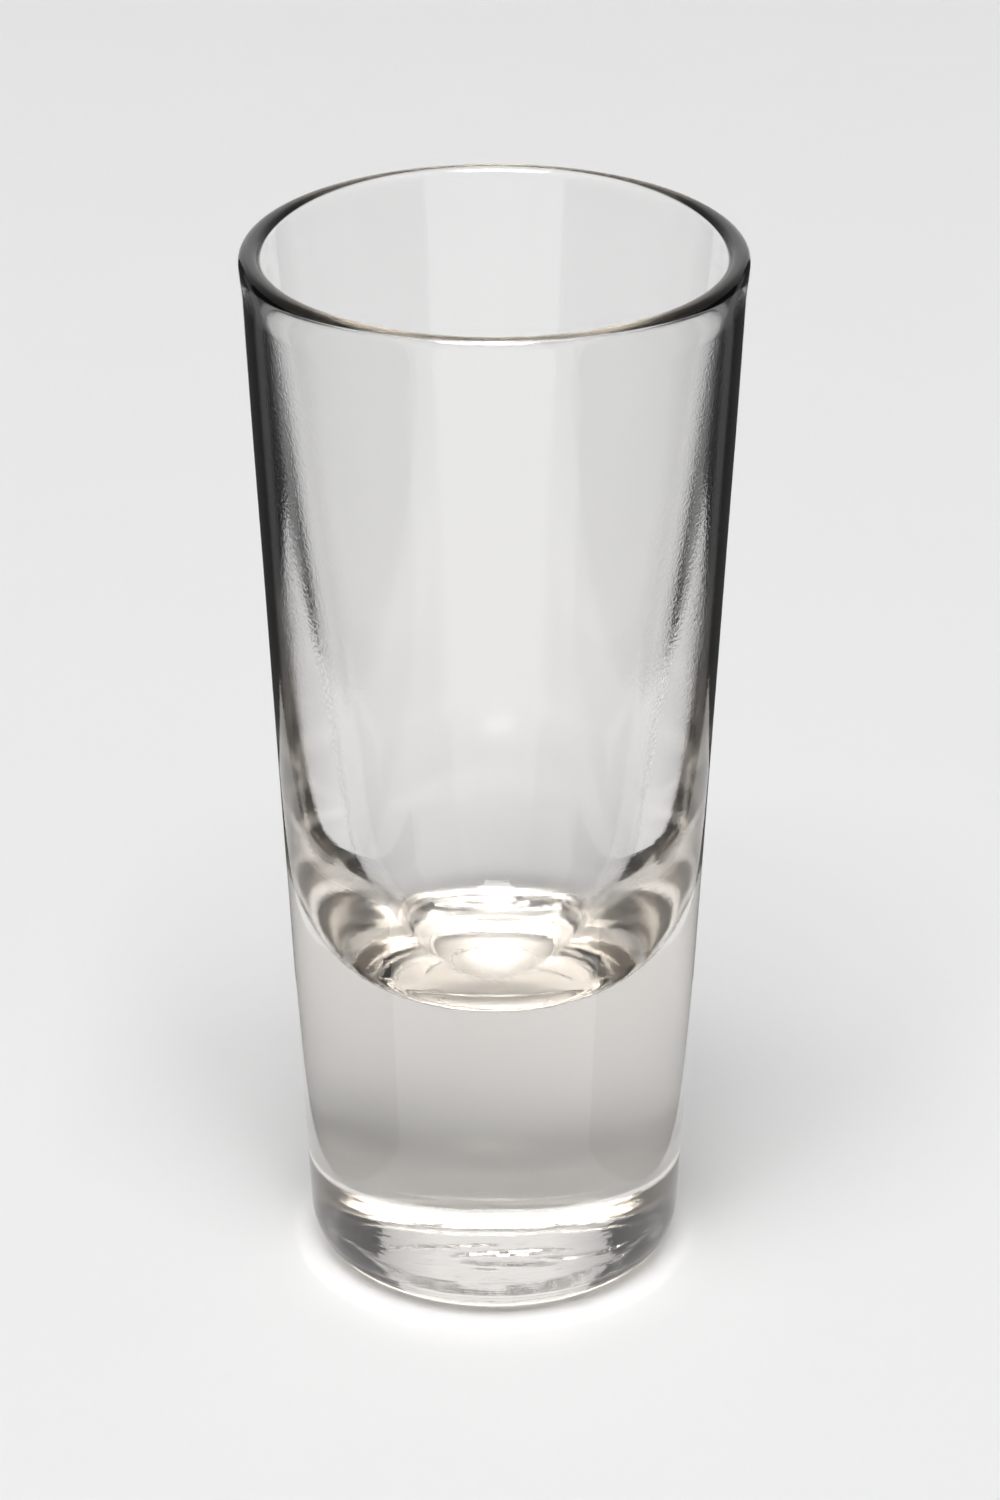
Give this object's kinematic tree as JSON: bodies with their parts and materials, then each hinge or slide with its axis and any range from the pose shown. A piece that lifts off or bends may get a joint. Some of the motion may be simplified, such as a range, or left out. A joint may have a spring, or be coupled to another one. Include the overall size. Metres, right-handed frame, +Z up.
{
  "type": "tequila glass",
  "caption": "Tall tapered shot glass of thick clear pressed glass, with a rounded lip, a bowl-shaped cavity and a heavy solid base.",
  "frame": {"origin": "centre of the foot, on the plane that the glass stands on", "axes": "+Z up along the glass's axis, from the foot to the lip; the glass is turned about Z, so X and Y are alike"},
  "size_m": [0.048, 0.048, 0.106],
  "materials": {
    "clear_glass": "clear, smooth, fire-polished lip"
  },
  "bodies": {
    "root": {"glass": "clear_glass"}
  },
  "joints": []
}
